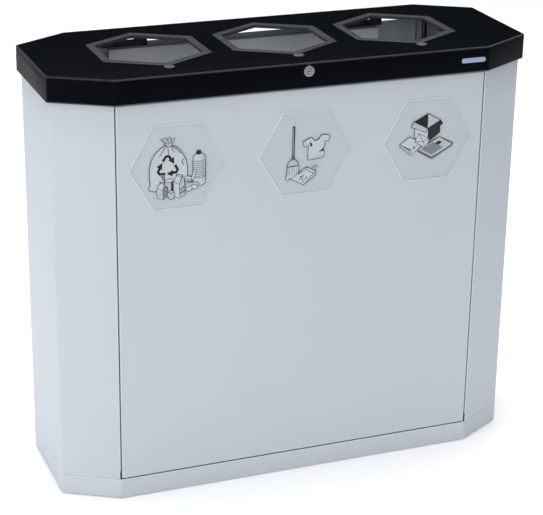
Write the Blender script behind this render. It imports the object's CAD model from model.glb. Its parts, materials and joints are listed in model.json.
# A three-stream litter bin for indoor use: a folded-steel cabinet with cut corners, a front door
# with clear stickers, and a black lift-up lid with three framed openings. Metres, front towards -Y.
import json
import math

import bmesh
import bpy
from mathutils import Matrix, Vector

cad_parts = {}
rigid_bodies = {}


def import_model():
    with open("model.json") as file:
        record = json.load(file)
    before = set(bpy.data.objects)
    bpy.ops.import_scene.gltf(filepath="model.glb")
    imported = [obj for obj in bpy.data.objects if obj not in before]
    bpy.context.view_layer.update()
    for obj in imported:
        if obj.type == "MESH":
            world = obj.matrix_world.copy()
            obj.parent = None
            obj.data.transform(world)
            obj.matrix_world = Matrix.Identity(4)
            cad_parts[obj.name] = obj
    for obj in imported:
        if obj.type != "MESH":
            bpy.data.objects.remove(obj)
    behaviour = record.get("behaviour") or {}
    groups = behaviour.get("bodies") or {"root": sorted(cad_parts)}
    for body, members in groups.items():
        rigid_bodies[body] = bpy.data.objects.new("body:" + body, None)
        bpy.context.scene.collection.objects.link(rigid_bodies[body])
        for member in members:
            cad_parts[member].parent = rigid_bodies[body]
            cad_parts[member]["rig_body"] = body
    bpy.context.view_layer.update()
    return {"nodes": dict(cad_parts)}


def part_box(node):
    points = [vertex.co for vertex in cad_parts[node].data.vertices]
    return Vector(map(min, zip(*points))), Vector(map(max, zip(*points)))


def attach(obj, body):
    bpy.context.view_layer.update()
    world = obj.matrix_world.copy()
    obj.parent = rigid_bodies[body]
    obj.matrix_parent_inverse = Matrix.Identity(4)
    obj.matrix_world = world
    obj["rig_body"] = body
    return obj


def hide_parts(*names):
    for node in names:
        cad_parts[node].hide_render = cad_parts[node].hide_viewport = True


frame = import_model()

# ---- Camera ------------------------------------------------------------------------------
# The camera stands to the left of the door, a little over three metres off and above the lid,
# and looks down on it with a long lens.
eye = Vector((-1.2923, -3.3046, 1.8452))
turn_left, tilt_down, roll = math.radians(-21.36), math.radians(21.91), math.radians(0.90)
bpy.ops.object.camera_add(location=eye)
camera = bpy.context.object
camera.rotation_euler = (
    Matrix.Rotation(turn_left, 3, "Z")
    @ Matrix.Rotation(math.pi / 2 - tilt_down, 3, "X")
    @ Matrix.Rotation(roll, 3, "Z")
).to_euler()
camera.data.sensor_width = 36
camera.data.lens = 118.6
bpy.context.scene.camera = camera

# ---- Studio ------------------------------------------------------------------------------
# A plain white floor with a little glow of its own, one broad key light from the left,
# a large soft one overhead, and a bright surround that is dark behind, where the lid mirrors it.
floor_tone = (0.95, 0.95, 0.95, 1)
bpy.ops.mesh.primitive_plane_add(size=40, location=(0, 8, 0))
floor = bpy.context.object
floor.name = "studio_floor"
floor_paint = bpy.data.materials.new("floor_paint")
floor_paint.use_nodes = True
floor_paint.node_tree.nodes["Principled BSDF"].inputs["Base Color"].default_value = floor_tone
floor_paint.node_tree.nodes["Principled BSDF"].inputs["Roughness"].default_value = 0.9
floor_paint.node_tree.nodes["Principled BSDF"].inputs["Specular IOR Level"].default_value = 0.0
floor_paint.node_tree.nodes["Principled BSDF"].inputs["Emission Color"].default_value = (1, 1, 1, 1)
floor_paint.node_tree.nodes["Principled BSDF"].inputs["Emission Strength"].default_value = 0.10
floor.data.materials.append(floor_paint)

surround = bpy.data.worlds.new("surround")
surround.use_nodes = True
sky = surround.node_tree
direction = sky.nodes.new("ShaderNodeTexCoord")
away = sky.nodes.new("ShaderNodeVectorMath")
away.operation = "DOT_PRODUCT"
away.inputs[1].default_value = (0.68, 0.73, 0)
behind = sky.nodes.new("ShaderNodeMapRange")
behind.inputs["From Min"].default_value, behind.inputs["From Max"].default_value = -0.7, 0.6
behind.inputs["To Min"].default_value, behind.inputs["To Max"].default_value = 1.02, 0.03
sky.links.new(direction.outputs["Generated"], away.inputs[0])
sky.links.new(away.outputs["Value"], behind.inputs["Value"])
sky.links.new(behind.outputs["Result"], sky.nodes["Background"].inputs["Strength"])
sky.nodes["Background"].inputs["Color"].default_value = (0.94, 0.96, 1.0, 1)
bpy.context.scene.world = surround
bpy.context.scene.view_settings.view_transform = "Standard"


def softbox(name, place, aim, width, height, power, colour=(1, 1, 1)):
    """A rectangular light at one place, turned to face another."""
    bpy.ops.object.light_add(type="AREA", location=place)
    lamp = bpy.context.object
    lamp.name = name
    lamp.data.shape = "RECTANGLE"
    lamp.data.size, lamp.data.size_y = width, height
    lamp.data.energy = power
    lamp.data.color = colour
    lamp.rotation_euler = (Vector(aim) - Vector(place)).to_track_quat("-Z", "Y").to_euler()


softbox("key_light", (-3.8, -1.6, 1.5), (-0.2, 0, 0.45), 2.2, 2.2, 32)
softbox("top_light", (0.3, 0.8, 4.6), (0.2, 0.6, 0), 3.6, 3.6, 225)


# ---- Cabinet end shells ------------------------------------------------------------------
# Each end of the cabinet is one sheet of coated steel with four upright folds, and a flange
# turned inwards at the door and at the back. It is cut from a block, opened and given its wall.
def only(piece):
    """Leave object mode's selection on one piece."""
    bpy.ops.object.select_all(action="DESELECT")
    piece.select_set(True)
    bpy.context.view_layer.objects.active = piece


def block(name, low, high):
    """A box between two corners, left open in edit mode with all of it selected."""
    bpy.ops.object.select_all(action="DESELECT")
    low, high = Vector(low), Vector(high)
    bpy.ops.mesh.primitive_cube_add(size=1, location=(low + high) / 2, scale=high - low)
    bpy.ops.object.transform_apply(location=True, rotation=True, scale=True)
    bpy.context.object.name = name
    bpy.ops.object.mode_set(mode="EDIT")
    return bpy.context.object


def pick_faces(piece, wanted):
    """Select the faces whose middle and normal pass a test."""
    bpy.ops.mesh.select_mode(type="FACE")
    bpy.ops.mesh.select_all(action="DESELECT")
    mesh = bmesh.from_edit_mesh(piece.data)
    for face in mesh.faces:
        if wanted(face.calc_center_median(), face.normal):
            face.select_set(True)
    bmesh.update_edit_mesh(piece.data)


def pick_edges(piece, wanted):
    """Select the edges whose middle and direction pass a test."""
    bpy.ops.mesh.select_mode(type="EDGE")
    bpy.ops.mesh.select_all(action="DESELECT")
    mesh = bmesh.from_edit_mesh(piece.data)
    for edge in mesh.edges:
        start, end = (v.co for v in edge.verts)
        if wanted((start + end) / 2, (end - start).normalized()):
            edge.select_set(True)
    bmesh.update_edit_mesh(piece.data)


def slice_off(point, outward):
    """Cut all of the piece in edit mode with a plane and drop what lies beyond it."""
    bpy.ops.mesh.select_all(action="SELECT")
    bpy.ops.mesh.bisect(plane_co=point, plane_no=outward, clear_outer=True, use_fill=True)


def wall(piece, thickness, edge_ease):
    """Give an open shell its thickness inwards, then ease all of its cut edges."""
    bpy.ops.object.mode_set(mode="OBJECT")
    only(piece)
    solid = piece.modifiers.new("wall", "SOLIDIFY")
    solid.thickness, solid.offset = thickness, -1
    solid.use_even_offset = True
    bpy.ops.object.modifier_apply(modifier=solid.name)
    ease(piece, edge_ease)


def ease(piece, radius, segments=2, sharper_than=35):
    """Round the piece's remaining sharp edges and shade it smooth across them."""
    only(piece)
    rounding = piece.modifiers.new("ease", "BEVEL")
    rounding.width, rounding.segments = radius, segments
    rounding.limit_method, rounding.angle_limit = "ANGLE", math.radians(sharper_than)
    rounding.harden_normals = False
    bpy.ops.object.modifier_apply(modifier=rounding.name)
    bpy.ops.object.shade_smooth_by_angle(angle=math.radians(30))


def dress(piece, material, slot, body, *nodes):
    """Give a finished piece its material, its record slot, its body and the nodes it stands for."""
    piece.data.materials.clear()
    piece.data.materials.append(material)
    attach(piece, body)
    if nodes:
        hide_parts(*nodes)


def finish(name, tone, rough, metal=0.0, gloss=0.5, drift=0.03, patch=6, grain=900, relief=0.03,
           rough_drift=0.05, rubbed=None, rub_width=0.0012, rub=0.5):
    """A coat worked out in the piece's own metres: a slow drift of tone and gloss, a fine grain as
    bump, and a lighter line where edges are rubbed."""
    material = bpy.data.materials.new(name)
    material.use_nodes = True
    tree = material.node_tree
    shader = tree.nodes["Principled BSDF"]
    shader.inputs["Metallic"].default_value = metal
    shader.inputs["Specular IOR Level"].default_value = gloss
    place = tree.nodes.new("ShaderNodeTexCoord")

    def noise(scale, detail):
        node = tree.nodes.new("ShaderNodeTexNoise")
        node.inputs["Scale"].default_value = scale
        node.inputs["Detail"].default_value = detail
        tree.links.new(place.outputs["Object"], node.inputs["Vector"])
        return node.outputs["Fac"]

    slow, fine = noise(patch, 5), noise(grain, 2)
    tones = tree.nodes.new("ShaderNodeMix")
    tones.data_type = "RGBA"
    tones.inputs["A"].default_value = [c * (1 - drift) for c in tone] + [1]
    tones.inputs["B"].default_value = [min(1, c * (1 + drift)) for c in tone] + [1]
    tree.links.new(slow, tones.inputs["Factor"])
    colour = tones.outputs["Result"]

    if rubbed:
        soft = tree.nodes.new("ShaderNodeBevel")
        soft.samples = 4
        soft.inputs["Radius"].default_value = rub_width
        true = tree.nodes.new("ShaderNodeNewGeometry")
        facing = tree.nodes.new("ShaderNodeVectorMath")
        facing.operation = "DOT_PRODUCT"
        tree.links.new(soft.outputs["Normal"], facing.inputs[0])
        tree.links.new(true.outputs["Normal"], facing.inputs[1])
        edge = tree.nodes.new("ShaderNodeMapRange")
        edge.inputs["From Min"].default_value = 0.995
        edge.inputs["From Max"].default_value = 0.90
        edge.inputs["To Max"].default_value = rub
        tree.links.new(facing.outputs["Value"], edge.inputs["Value"])
        worn = tree.nodes.new("ShaderNodeMix")
        worn.data_type = "RGBA"
        worn.inputs["B"].default_value = [*rubbed, 1]
        tree.links.new(edge.outputs["Result"], worn.inputs["Factor"])
        tree.links.new(colour, worn.inputs["A"])
        colour = worn.outputs["Result"]
    tree.links.new(colour, shader.inputs["Base Color"])

    matt = tree.nodes.new("ShaderNodeMapRange")
    matt.inputs["To Min"].default_value = rough - rough_drift
    matt.inputs["To Max"].default_value = rough + rough_drift
    tree.links.new(slow, matt.inputs["Value"])
    tree.links.new(matt.outputs["Result"], shader.inputs["Roughness"])

    bump = tree.nodes.new("ShaderNodeBump")
    bump.inputs["Strength"].default_value = relief
    bump.inputs["Distance"].default_value = 0.0003
    tree.links.new(fine, bump.inputs["Height"])
    tree.links.new(bump.outputs["Normal"], shader.inputs["Normal"])
    return material


silver_coat = finish("silver_powder_coat", (0.507, 0.540, 0.578), 0.42, gloss=0.35, drift=0.018, patch=4,
                     grain=1100, relief=0.10, rubbed=(0.80, 0.83, 0.86), rub_width=0.003, rub=0.65)
fold = 0.0022                            # outside radius of every bend
sheet = 0.0015
corner_slope = math.tan(math.radians(30))
door_jamb, rear_flange = 0.040, 0.016    # flanges turned inwards at the door and at the back
shell_low, shell_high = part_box("right_side_shell")
seam_x, side_x, front_y = shell_low.x, shell_high.x, shell_low.y
corner_y = -front_y - (side_x - seam_x) * corner_slope
flange_foot = 0.064                      # the flanges stop above the tray

for side, hand in (("left", -1), ("right", 1)):
    shell = block(f"{side}_end_shell", (seam_x, front_y, shell_low.z), (side_x, -front_y, shell_high.z))
    for end in (-1, 1):
        slice_off((side_x, end * corner_y, 0), (corner_slope, end, 0))
    pick_faces(shell, lambda at, way: abs(way.z) > 0.9 or way.x < -0.9)
    bpy.ops.mesh.delete(type="ONLY_FACE")
    for end, reach in ((-1, door_jamb), (1, rear_flange)):
        pick_edges(shell, lambda at, way: abs(way.z) > 0.9 and at.x < seam_x + 1e-5 and at.y * end > 0.17)
        bpy.ops.mesh.extrude_edges_move(TRANSFORM_OT_translate={"value": (0, -end * reach, 0)})
    bpy.ops.mesh.select_all(action="SELECT")
    bpy.ops.mesh.delete_loose()
    bpy.ops.mesh.select_all(action="SELECT")
    bpy.ops.mesh.normals_make_consistent(inside=False)
    pick_edges(shell, lambda at, way: abs(way.z) > 0.9 and (at.x > seam_x + 1e-5 or abs(at.y) > 0.17))
    bpy.ops.mesh.bevel(offset=fold, segments=4, affect="EDGES")
    bpy.ops.mesh.select_all(action="SELECT")
    bpy.ops.mesh.bisect(plane_co=(0, 0, flange_foot), plane_no=(0, 0, 1))
    pick_faces(shell, lambda at, way: at.z < flange_foot and at.x < seam_x + fold)
    bpy.ops.mesh.delete(type="FACE")
    if hand < 0:
        bpy.ops.mesh.select_all(action="SELECT")
        bpy.ops.transform.mirror(constraint_axis=(True, False, False), center_override=(0, 0, 0))
        bpy.ops.mesh.normals_make_consistent(inside=False)
    wall(shell, sheet, 0.00025)
    dress(shell, silver_coat, "cabinet_paint", "cabinet", f"{side}_side_shell")


# ---- Plinth ------------------------------------------------------------------------------
# A separate band of the same coated sheet, folded round the foot of the cabinet and flush with
# the shells above it. It is open above and below.
def eight_sided(name, low, high, corner_x):
    """A block between two corners with its four upright corners cut off from corner_x out."""
    piece = block(name, low, high)
    side_y = high[1] - (high[0] - corner_x) * corner_slope
    for x_end in (-1, 1):
        for y_end in (-1, 1):
            slice_off((x_end * high[0], y_end * side_y, 0), (x_end * corner_slope, y_end, 0))
    return piece


plinth_low, plinth_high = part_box("plinth_band")
plinth = eight_sided("plinth_folded_band", plinth_low, plinth_high, seam_x)
pick_faces(plinth, lambda at, way: abs(way.z) > 0.9)
bpy.ops.mesh.delete(type="ONLY_FACE")
pick_edges(plinth, lambda at, way: abs(way.z) > 0.9)
bpy.ops.mesh.bevel(offset=fold, segments=4, affect="EDGES")
wall(plinth, sheet, 0.0004)
dress(plinth, silver_coat, "cabinet_paint", "cabinet", "plinth_band")


# ---- Door --------------------------------------------------------------------------------
# One sheet folded back on all four sides into a shallow tray. It hangs on two pins at the left,
# which pass through holes in its top and bottom folds.
pin_hole = 0.0036
door_low, door_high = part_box("door_panel")
door = block("door_tray", door_low, door_high)
pick_faces(door, lambda at, way: way.y > 0.9)
bpy.ops.mesh.delete(type="ONLY_FACE")
pick_edges(door, lambda at, way: abs(way.y) > 0.9 or at.y < door_low.y + 1e-5)
bpy.ops.mesh.bevel(offset=fold, segments=4, affect="EDGES")
wall(door, sheet, 0.00025)
pin_low, pin_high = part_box("door_pin_lower")
pin_at = (pin_low + pin_high) / 2
bpy.ops.mesh.primitive_cylinder_add(vertices=32, radius=pin_hole, depth=2,
                                    location=(pin_at.x, pin_at.y, 0.5))
drill = bpy.context.object
only(door)
holes = door.modifiers.new("pin_holes", "BOOLEAN")
holes.operation, holes.object, holes.solver = "DIFFERENCE", drill, "EXACT"
bpy.ops.object.modifier_apply(modifier=holes.name)
bpy.data.objects.remove(drill)
dress(door, silver_coat, "cabinet_paint", "door", "door_panel")


# ---- Lid ---------------------------------------------------------------------------------
# One black-coated sheet folded down all round: a deep skirt at the front and sides, a short one
# at the back so that it clears the cabinet as it swings. Three six-sided holes take the frames.
black_coat = finish("black_powder_coat", (0.0010, 0.0018, 0.0032), 0.44, gloss=0.03, drift=0.15, patch=9,
                    grain=1000, relief=0.05, rubbed=(0.30, 0.31, 0.32), rub_width=0.004, rub=0.5)
lid_wall = 0.002
corner_run = 0.115                       # how much of the front edge each cut corner takes
rear_skirt = 0.8815                      # bottom edge of the short skirt at the back
lid_low, lid_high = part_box("lid_cover")
lid = eight_sided("lid_folded_cover", lid_low, lid_high, lid_high.x - corner_run)
rear_turn = lid_high.y - corner_run * corner_slope
bpy.ops.mesh.select_all(action="SELECT")
bpy.ops.mesh.bisect(plane_co=(0, 0, rear_skirt), plane_no=(0, 0, 1))
pick_faces(lid, lambda at, way: way.z < -0.9 or (at.z < rear_skirt and at.y > rear_turn))
bpy.ops.mesh.delete(type="FACE")
pick_edges(lid, lambda at, way: at.z > lid_high.z - 1e-5 or abs(way.z) > 0.9)
bpy.ops.mesh.bevel(offset=fold, segments=4, affect="EDGES")
wall(lid, lid_wall, 0.0003)

frame_band, collar_wall, collar_clear = 0.015, 0.003, 0.0005
lock_hole = 0.0094
cutters = []
for stream in ("left", "middle", "right"):
    frame_low, frame_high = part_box(f"opening_frame_{stream}")
    centre = (frame_low + frame_high) / 2
    hole_radius = (frame_high.y - frame_low.y) / 2 - (frame_band - collar_wall) / math.cos(math.pi / 6)
    bpy.ops.mesh.primitive_cylinder_add(vertices=6, radius=hole_radius + collar_clear, depth=0.03,
                                        location=(centre.x, centre.y, lid_high.z))
    cutters.append(bpy.context.object)
lock_low, lock_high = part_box("lock_housing")
lock_at = (lock_low + lock_high) / 2
bpy.ops.mesh.primitive_cylinder_add(vertices=48, radius=lock_hole, depth=0.02,
                                    rotation=(math.pi / 2, 0, 0),
                                    location=(lock_at.x, lid_low.y, lock_at.z))
cutters.append(bpy.context.object)
for cutter in cutters:
    only(lid)
    hole = lid.modifiers.new("hole", "BOOLEAN")
    hole.operation, hole.object, hole.solver = "DIFFERENCE", cutter, "EXACT"
    bpy.ops.object.modifier_apply(modifier=hole.name)
    bpy.data.objects.remove(cutter)
bpy.ops.object.shade_smooth_by_angle(angle=math.radians(30))
dress(lid, black_coat, "lid_paint", "lid", "lid_cover")


# ---- Back, header, rail and tray ---------------------------------------------------------
# The cabinet's other sheet pieces: the back, the channel over the door, the light top-hat rail that
# carries the lid's hinges, and the floor. Pressed as designed, with their cut edges eased.
def eased(node, radius, material, slot, segments=2):
    """A designed piece with its triangles joined up and its edges rounded to a radius."""
    source = frame["nodes"][node]
    piece = bpy.data.objects.new(f"{node}_eased", source.data.copy())
    bpy.context.scene.collection.objects.link(piece)
    only(piece)
    bpy.ops.object.mode_set(mode="EDIT")
    bpy.ops.mesh.select_all(action="SELECT")
    bpy.ops.mesh.remove_doubles(threshold=1e-6)
    bpy.ops.mesh.dissolve_limited(angle_limit=math.radians(0.5))
    bpy.ops.object.mode_set(mode="OBJECT")
    ease(piece, radius, segments)
    dress(piece, material, slot, source["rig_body"], node)
    return piece


inside_coat = finish("light_inside_coat", (0.78, 0.80, 0.84), 0.45, gloss=0.3, drift=0.03, patch=5,
                     grain=1100, relief=0.08)
for node in ("back_panel", "front_header", "base_tray"):
    eased(node, 0.0003, silver_coat, "cabinet_paint")
eased("hinge_rail", 0.0003, inside_coat, "cabinet_paint")


# ---- Lid hinges and ribs -----------------------------------------------------------------
# Two black-lacquered steel hinges riveted to the rail and to the lid, each turning on a zinc pin,
# and two hat-section ribs that stiffen the lid between the openings.
black_steel = finish("black_lacquered_steel", (0.011, 0.022, 0.038), 0.33, gloss=0.5, drift=0.15, patch=30,
                     grain=1500, relief=0.08, rubbed=(0.12, 0.13, 0.15), rub=0.5)
zinc = finish("bright_zinc", (0.50, 0.51, 0.53), 0.34, metal=0.95, drift=0.12, patch=45, grain=1400,
              relief=0.06, rough_drift=0.09, rubbed=(0.75, 0.76, 0.78), rub=0.4)
ends = ("left", "right")
for end in ends:
    eased(f"hinge_body_leaf_{end}", 0.0004, black_steel, "black_steel")
    eased(f"hinge_lid_leaf_{end}", 0.0004, black_steel, "black_steel")
    eased(f"hinge_pin_{end}", 0.0003, zinc, "zinc_steel")
    eased(f"lid_rib_{end}", 0.0003, black_coat, "lid_paint")


# ---- Feet and buffers --------------------------------------------------------------------
# Four rubber feet under the tray, and two rubber buffers on the header for the lid to land on.
# Moulded, with a soft edge.
rubber = finish("matt_rubber", (0.018, 0.018, 0.019), 0.85, gloss=0.25, drift=0.12, patch=60, grain=900,
                relief=0.25)
for end in ends:
    eased(f"lid_buffer_{end}", 0.0015, rubber, "rubber", 3)
    for row in ("front", "rear"):
        eased(f"foot_{row}_{end}", 0.0008, rubber, "rubber", 3)


# ---- Door pins, bushes and catches -------------------------------------------------------
# The door turns on two zinc pins in nylon bushes, and two magnets hold it shut against steel
# strikes riveted inside its free edge.
nylon = finish("natural_nylon", (0.72, 0.71, 0.65), 0.45, drift=0.05, patch=80, grain=900, relief=0.08)
for level in ("lower", "upper"):
    eased(f"door_pin_{level}", 0.0003, zinc, "zinc_steel")
    eased(f"door_bush_{level}", 0.0005, nylon, "nylon")
    eased(f"door_magnet_{level}", 0.0006, zinc, "zinc_steel")
    eased(f"door_strike_{level}", 0.0003, zinc, "zinc_steel")


# ---- Opening frames and tabs -------------------------------------------------------------
# Three moulded grey frames line the openings, each a flat hexagonal ring with a short collar
# through the lid. A small round-ended tab sits at each frame's front corner.
frame_grey = finish("frame_grey_plastic", (0.036, 0.039, 0.039), 0.50, gloss=0.22, drift=0.06, patch=14,
                    grain=1600, relief=0.10, rubbed=(0.17, 0.175, 0.175), rub=0.5)
tab_grey = finish("tab_grey_plastic", (0.085, 0.090, 0.108), 0.35, gloss=0.5, drift=0.05, patch=60,
                  grain=1800, relief=0.05, rubbed=(0.22, 0.23, 0.26), rub=0.4)
streams = ("left", "middle", "right")
for stream in streams:
    eased(f"opening_frame_{stream}", 0.0006, frame_grey, "frame_grey", 3)
    eased(f"frame_tab_{stream}", 0.0007, tab_grey, "tab_grey", 3)


# ---- Inner bins --------------------------------------------------------------------------
# Three tall moulded liners in pale grey plastic with rounded corners and a thick rim. They stand
# on the tray, one under each opening.
liner_grey = finish("liner_plastic", (0.76, 0.78, 0.80), 0.50, gloss=0.4, drift=0.04, patch=7, grain=700,
                    relief=0.12, rubbed=(0.80, 0.82, 0.84), rub=0.4)
for stream in streams:
    eased(f"inner_bin_{stream}", 0.0006, liner_grey, "liner")


# ---- Lock --------------------------------------------------------------------------------
# A cam lock through the lid's front skirt: a turned bezel and barrel, the plug with its keyway, a
# nut behind, and the cam with its screw, which swings under the keeper on the header.
chrome = finish("nickel_chrome", (0.28, 0.29, 0.30), 0.18, metal=1.0, drift=0.04, patch=50,
                grain=2500, relief=0.02, rough_drift=0.05)
for node in ("lock_housing", "lock_plug"):
    eased(node, 0.0005, chrome, "chrome", 4)
for node in ("lock_nut", "lock_cam", "lock_cam_screw", "lock_striker"):
    eased(node, 0.0003, zinc, "zinc_steel")


# ---- Strut and knob ----------------------------------------------------------------------
# A black telescopic strut holds the lid up at the right: a rod that slides in a tube, an eye on
# each end, and a bracket on the cabinet and on the lid. A ball-headed knob stands beside it.
for node in ("strut_tube", "strut_lower_eye", "strut_upper_eye", "strut_lid_bracket", "stop_knob"):
    eased(node, 0.0004, black_steel, "black_steel")
for node in ("strut_bracket", "strut_rod"):
    eased(node, 0.0003, zinc, "zinc_steel")


# ---- Badge -------------------------------------------------------------------------------
# A plain oblong metal plate with round ends, stuck to the skirt near the lock's right. It is blank,
# in a pale anodised blue-grey.
badge_blue = finish("pale_blue_anodised", (0.30, 0.38, 0.52), 0.30, metal=0.3, drift=0.05, patch=60,
                    grain=2000, relief=0.03)
eased("badge_plate", 0.0004, badge_blue, "chrome", 3)


# ---- Fixings that show -------------------------------------------------------------------
# A blind rivet low on each end shell, and a small button-head screw in the middle of the plinth's
# front and back; domed steel heads, pressed against the sheet.
def domed_head(name, place, outward, radius, height):
    """A zinc fastener head pressed against the cabinet, domed away from it."""
    bpy.ops.object.select_all(action="DESELECT")
    bpy.ops.mesh.primitive_cylinder_add(vertices=24, radius=radius, depth=height)
    head = bpy.context.object
    head.name = name
    bpy.ops.object.mode_set(mode="EDIT")
    pick_faces(head, lambda at, way: way.z > 0.9)
    bpy.ops.mesh.bevel(offset=height * 0.7, segments=4, affect="EDGES")
    bpy.ops.object.mode_set(mode="OBJECT")
    turned = Vector(outward).to_track_quat("Z", "Y").to_matrix().to_4x4()
    head.data.transform(Matrix.Translation(Vector(place) + Vector(outward) * height / 2) @ turned)
    dress(head, zinc, "zinc_steel", "cabinet")


rivet_height, screw_height = 0.112, 0.024
for side, way in (("left", -1), ("right", 1)):
    domed_head(f"shell_rivet_{side}", (way * side_x, 0, rivet_height), (way, 0, 0), 0.0021, 0.0009)
for side, y, way in (("front", plinth_low.y, -1), ("rear", plinth_high.y, 1)):
    domed_head(f"plinth_screw_{side}", (0, y, screw_height), (0, way, 0), 0.0022, 0.0010)


# ---- Stickers ----------------------------------------------------------------------------
# Three clear plastic hexagons stuck on the door under the openings. Each has slightly rounded
# corners and a narrow bevelled rim that catches the light.
clear_film = finish("clear_sticker", (0.50, 0.535, 0.575), 0.25, gloss=0.35, drift=0.03, patch=20,
                    grain=500, relief=0.03)
clear_film.node_tree.nodes["Principled BSDF"].inputs["Alpha"].default_value = 0.04
bright_rim = finish("sticker_rim", (0.74, 0.78, 0.83), 0.30, gloss=0.5, drift=0.05, patch=14, grain=700,
                    relief=0.03)
bright_rim.node_tree.nodes["Principled BSDF"].inputs["Alpha"].default_value = 0.75
rim_width, face_rise, corner_bevel = 0.0016, 0.0004, 0.003

for stream in streams:
    plate_low, plate_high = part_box(f"label_plate_{stream}")
    centre = (plate_low + plate_high) / 2
    thickness = plate_high.y - plate_low.y
    bpy.ops.object.select_all(action="DESELECT")
    bpy.ops.mesh.primitive_cylinder_add(vertices=6, radius=(plate_high.x - plate_low.x) / 2,
                                        depth=thickness, location=centre,
                                        rotation=(math.pi / 2, math.pi / 6, 0))
    plate = bpy.context.object
    plate.name = f"sticker_{stream}"
    bpy.ops.object.transform_apply(location=True, rotation=True, scale=True)
    bpy.ops.object.mode_set(mode="EDIT")
    pick_edges(plate, lambda at, way: abs(way.y) > 0.9)
    bpy.ops.mesh.bevel(offset=corner_bevel, segments=4, affect="EDGES")
    pick_faces(plate, lambda at, way: way.y < -0.9)
    bpy.ops.mesh.inset(thickness=rim_width, depth=0)
    bpy.ops.transform.translate(value=(0, -face_rise, 0))
    bpy.ops.object.mode_set(mode="OBJECT")
    ease(plate, 0.0003)
    dress(plate, clear_film, "clear_label", "door", f"label_plate_{stream}")
    plate.data.materials.append(bright_rim)
    inner = (plate_high.z - plate_low.z) / 2 - rim_width * 1.1
    for face in plate.data.polygons:
        across, up = abs(face.center.x - centre.x), abs(face.center.z - centre.z)
        if max(up, across * math.sin(math.pi / 3) + up * 0.5) > inner:
            face.material_index = 1


# ---- Printed pictures --------------------------------------------------------------------
# A line drawing of what goes in is printed on each sticker in black and four greys. Each patch
# and line is a film of ink, laid a hair in front of the one before, in millimetres from the middle.
inks = {}
for ink, tone in (("black", 0.004), ("charcoal", 0.010), ("grey", 0.19), ("silver", 0.42), ("pale", 0.50)):
    inks[ink] = finish(f"{ink}_print", (tone, tone * 1.07, tone * 1.14), 0.40, gloss=0.3, drift=0.06,
                       patch=90, grain=2600, relief=0.03)


ink_film, layer_step = 0.000004, 0.00001
stroke_gain = 1.33                       # the ink spreads a little past the drawn width
flattened = 0.02                         # a line's round section pressed flat


def shape_of(points, flat, smooth, closed, width):
    """A printed patch or line through points in the picture's plane."""
    curve = bpy.data.curves.new("stroke", "CURVE")
    curve.dimensions = "2D" if flat else "3D"
    curve.resolution_u = 5
    if flat:
        curve.fill_mode, curve.extrude = "BOTH", ink_film / 2
    else:
        curve.bevel_depth, curve.bevel_resolution = width * stroke_gain / 2000, 1
        curve.use_fill_caps = True
    spline = curve.splines.new("BEZIER")
    spline.bezier_points.add(len(points) - 1)
    spline.use_cyclic_u = closed
    for knot, (x, z) in zip(spline.bezier_points, points):
        knot.co = (x / 1000, z / 1000, 0)
        knot.handle_left_type = knot.handle_right_type = "AUTO" if smooth else "VECTOR"
    stroke = bpy.data.objects.new("stroke", curve)
    bpy.context.scene.collection.objects.link(stroke)
    return stroke


pictures = {stream: [] for stream in streams}


def patch(stream, ink, points, smooth=False):
    """A filled area of one ink."""
    pictures[stream].append((ink, points, True, smooth, True, 0))


def line(stream, ink, points, width=0.9, smooth=False, closed=False):
    """A line of one ink."""
    pictures[stream].append((ink, points, False, smooth, closed, width))


def shape(stream, fill, points, width=0.9, smooth=False, edge="charcoal"):
    """A patch with its outline round it."""
    patch(stream, fill, points, smooth)
    line(stream, edge, points, width, smooth, True)


# Left: a tied sack with three chasing arrows, a ribbed bottle, cartons, a tin and tubs.
shape("left", "pale", [(-24, 45), (-33, 41), (-47, 28), (-56, 8), (-58, -14), (-57, -34), (-60, -39),
                       (-56, -44), (-30, -45), (0, -44), (17, -30), (20, -12), (18, 8), (10, 26),
                       (1, 38), (-11, 44)], 1.0, True)
shape("left", "silver", [(-24, 45), (-30, 54), (-37, 59), (-29, 57), (-26, 62), (-21, 56), (-17, 62),
                         (-13, 56), (-4, 60), (-10, 51), (-12, 44), (-18, 42)], 0.9)
for fold_line in ([(-23, 44), (-29, 36), (-37, 24)], [(-20, 43), (-19.5, 36), (-18.5, 27)],
                  [(-15, 43), (-11, 38), (-7, 31)], [(-12, 43), (-2, 36), (6, 27)], [(-27, 55), (-22, 48)],
                  [(-12, 55), (-15, 48)], [(-20, 56), (-19, 48)], [(12, 16), (9, 10), (13, 2)]):
    line("left", "charcoal", fold_line, 1.1, True)
hub_x, hub_z, arrow_size = -20.5, 2.0, 1.22


def about_hub(points, bend):
    """The points of one arrow, turned about the middle of the three."""
    return [(hub_x + (x * math.cos(bend) + z * math.sin(bend)) * arrow_size,
             hub_z + (z * math.cos(bend) - x * math.sin(bend)) * arrow_size) for x, z in points]


for bend in (0, math.radians(120), math.radians(240)):
    line("left", "black", about_hub([(-8, 9.5), (-2.8, 17.5), (2.0, 17.5), (6.0, 11.5)], bend), 4.2)
    patch("left", "black", about_hub([(0.8, 10.6), (10.6, 15.2), (11.0, 4.0)], bend))
shape("left", "pale", [(36, 22), (32, 17), (31, 10), (31, -38), (35, -43), (47, -44), (56, -40),
                       (57, -32), (57, 12), (54, 19), (49, 23)], 0.9)
patch("left", "silver", [(50, 20), (55, 14), (55, -40), (50, -42)])
shape("left", "charcoal", [(38, 22), (38, 27), (42, 29.5), (47, 28), (48, 22), (43, 20.5)], 0.8)
for ring in range(8):
    line("left", "charcoal", [(31.5, 8 - ring * 4.4), (38, 6.6 - ring * 4.4),
                              (56.5, 8.4 - ring * 4.4)], 0.75, True)
line("left", "charcoal", [(32, -26), (45, -28), (56, -25)], 0.8, True)
shape("left", "pale", [(27, -28), (33, -10), (37, -8), (38, -12), (32, -30)], 0.8)
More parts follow.
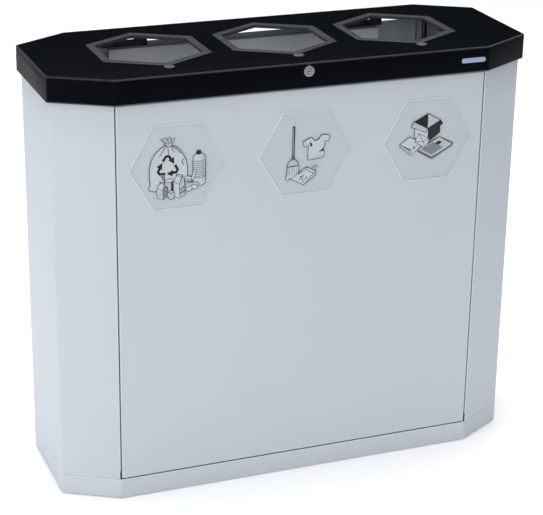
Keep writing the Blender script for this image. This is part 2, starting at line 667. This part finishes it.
shape("left", "grey", [(-37, -12), (-29, -13), (-26, -25), (-25, -30), (-30, -24)], 0.9)
shape("left", "silver", [(-27, -28), (-25, -52), (-17, -55), (-10, -52), (-10, -26), (-18, -30)], 0.9)
shape("left", "pale", [(-27, -27), (-22, -24), (-14, -23), (-9, -26), (-14, -30), (-22, -30)], 0.8, True)
patch("left", "charcoal", [(-14, -31), (-10.5, -28), (-10.5, -50), (-14, -52)])
shape("left", "pale", [(-9, -30), (-9, -60), (3, -65), (3, -36)], 0.9)
shape("left", "silver", [(3, -36), (3, -65), (15, -58), (13, -25), (9, -22)], 0.9)
shape("left", "pale", [(-9, -30), (-3, -18), (8, -21), (3, -36)], 0.9)
line("left", "charcoal", [(-4, -18), (-2, -15), (10, -18.5), (9, -22)], 1.1)
patch("left", "grey", [(3, -46), (14, -39), (14.5, -52), (3, -59)])
line("left", "pale", [(5, -51), (13, -46)], 1.6)
shape("left", "silver", [(14, -25), (27, -27), (27, -40), (15, -41)], 0.8)
shape("left", "pale", [(13, -23), (20, -21), (28, -24), (27, -28), (14, -27)], 0.8)
line("left", "charcoal", [(14, -31), (27, -33)], 1.4)
shape("left", "pale", [(16, -42), (19, -52), (26, -52), (29, -42)], 0.8, True)
shape("left", "pale", [(29, -40), (31, -49), (37, -49), (41, -40)], 0.8, True)
shape("left", "silver", [(15, -39), (30, -35), (42, -37), (43, -41), (30, -40), (16, -44)], 0.8, True)
shape("left", "pale", [(-43, -40), (-43, -59), (-31, -65), (-31, -46)], 0.9)
shape("left", "grey", [(-31, -46), (-31, -65), (-21, -58), (-21, -39), (-26, -37)], 0.9)
shape("left", "pale", [(-43, -40), (-37, -30), (-28, -33), (-31, -46)], 0.9)
line("left", "charcoal", [(-37, -30), (-36, -27), (-28, -29), (-28, -33)], 1.1)
patch("left", "silver", [(-41, -46), (-41, -57), (-33, -61), (-33, -50)])
shape("left", "silver", [(-20, -50), (-19, -63), (-14, -66), (-9, -63), (-8, -50)], 0.8, True)
line("left", "charcoal", [(-20, -51), (-14, -53), (-8, -51)], 0.8, True)

# Middle: a broom, a dustpan with sweepings and a torn shirt.
shape("middle", "charcoal", [(-28.4, 57), (-24, 57), (-24.6, -8), (-28.6, -8)], 0.7)
line("middle", "silver", [(-26.8, 55), (-27, -5)], 1.0)
shape("middle", "grey", [(-29, -8), (-24, -8), (-21.5, -14), (-31.5, -14)], 0.9)
shape("middle", "silver", [(-32, -13), (-37, -19), (-39.5, -27), (-15, -26), (-17, -18),
                           (-21.5, -13)], 1.0, True)
shape("middle", "pale", [(-39.5, -27), (-40, -38), (-42.5, -53), (-37, -54), (-35, -50), (-32, -53),
                         (-24, -51), (-17, -44), (-14, -36), (-15, -26)], 1.0)
for bristle, foot in ((-37, -38), (-34, -34), (-29, -28.5), (-25, -23), (-20, -18)):
    line("middle", "grey", [(bristle, -29), (foot, -46)], 0.8)
line("middle", "charcoal", [(-39.5, -27), (-27, -25.4), (-15, -26)], 1.3, True)
shape("middle", "silver", [(12, -36), (22, -28), (25, -29), (25, -32), (16, -39)], 0.9)
shape("middle", "pale", [(-31, -52), (2, -30), (22, -40), (22, -49), (-4, -67)], 1.2)
shape("middle", "silver", [(-4, -67), (22, -49), (22, -40), (17, -45)], 1.0)
line("middle", "charcoal", [(-16, -44), (2, -35), (17, -45)], 0.8)
line("middle", "charcoal", [(2, -31), (2, -35)], 0.8)
for x, z, size in ((-9, -50, 2.2), (-4, -48, 1.5), (2, -53, 2.0), (-13, -54, 1.3), (-6, -55, 1.4),
                   (-2, -57, 1.2), (-5, -60, 1.6), (-9, -53, 1.2)):
    patch("middle", "charcoal", [(x - size, z), (x, z + size), (x + size, z), (x, z - size * 0.7)], True)
shape("middle", "pale", [(-7, 21), (1, 27), (12, 31), (16, 25), (21.5, 23), (27, 25.5), (33, 34),
                         (42, 34), (52, 31), (48, 20), (40, 21), (40, 10), (34, 3), (27, -1),
                         (40, 1), (39, -12), (22, -15), (4, -16), (5.5, 15), (-3, 12)], 1.1)
patch("middle", "charcoal", [(7, 20), (11, 20.5), (14, 14), (11, 11), (8.5, 15)])
patch("middle", "black", [(27, -1.5), (34, 1.5), (38, 4.5), (40, 1)])
line("middle", "grey", [(8, -12), (22, -11), (36, -8)], 0.6)

# Right: an open box, an envelope, a stack of sheets and a stack of newspapers.
shape("right", "grey", [(-21, -24), (11, -43), (57, -18), (58, -13), (27, 3), (-8, -12)], 1.0)
shape("right", "silver", [(-21, -20), (11, -39), (57, -15), (27, 3)], 1.0)
patch("right", "grey", [(-14, -20), (11, -34), (36, -20), (12, -6)])
patch("right", "black", [(17, -10), (25, -14), (34, -9), (26, -5)])
line("right", "pale", [(-16, -18), (28, 1)], 1.0)
line("right", "pale", [(13, -36), (52, -15)], 1.2)
for sheet_edge in range(7):
    line("right", "charcoal", [(-19 + sheet_edge * 4.3, -24 - sheet_edge * 2.7),
                               (-18 + sheet_edge * 4.3, -22 - sheet_edge * 2.3)], 1.1)
shape("right", "pale", [(-61, -11), (-35, -30), (-14, -12), (-14, -6), (-40, -20), (-62, -5)], 0.8)
for sheet_edge in range(6):
    line("right", "grey", [(-59 + sheet_edge * 4.6, -8 - sheet_edge * 2.6),
                           (-60 + sheet_edge * 4.6, -13 - sheet_edge * 2.9)], 1.3)
shape("right", "pale", [(-61, -5), (-40, 9), (-15, -6), (-36, -19)], 0.9)
patch("right", "charcoal", [(-33, -17), (-27, -13), (-31, -12)])
shape("right", "charcoal", [(0, 24), (27, 36), (27, 13), (5, -3), (0, 4)], 0.9)
shape("right", "pale", [(0, 23), (-30, 32), (-30, 6), (0, -2)], 0.9)
patch("right", "black", [(-1, 55), (-32, 40), (-1, 23)])
patch("right", "silver", [(-1, 55), (27, 39), (-1, 23)])
line("right", "charcoal", [(-32, 40), (-1, 55), (27, 39), (-1, 23)], 1.2, False, True)
shape("right", "silver", [(-32, 40), (-38, 30), (-5, 15), (-1, 24)], 1.1)
shape("right", "charcoal", [(-1, 24), (2, 13), (33, 31), (27, 39)], 1.1)
shape("right", "pale", [(-20, 15), (5, 0), (-5, -18), (-29, -2)], 1.0)
line("right", "charcoal", [(-20, 15), (-10, -3), (5, 0)], 0.9)
line("right", "charcoal", [(-29, -2), (-10, -3), (-5, -18)], 0.9)

for stream, marks in pictures.items():
    plate_low, plate_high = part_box(f"label_plate_{stream}")
    centre = (plate_low + plate_high) / 2
    printed = {}
    for layer, (ink, points, flat, smooth, closed, width) in enumerate(marks):
        stroke = shape_of(points, flat, smooth, closed, width)
        only(stroke)
        bpy.ops.object.convert(target="MESH")
        stroke = bpy.context.object
        stroke.data.transform(Matrix.Diagonal((1, 1, 1 if flat else flattened, 1)))
        stroke.data.transform(Matrix.Rotation(math.pi / 2, 4, "X"))
        face = plate_low.y - face_rise - layer_step * (layer + 2)
        stroke.data.transform(Matrix.Translation((centre.x, face, centre.z)))
        printed.setdefault(ink, []).append(stroke)
    for ink, strokes in printed.items():
        only(strokes[0])
        for stroke in strokes[1:]:
            stroke.select_set(True)
        bpy.ops.object.join()
        drawing = bpy.context.object
        drawing.name = f"{stream}_picture_{ink}"
        dress(drawing, inks[ink], "clear_label", "door")
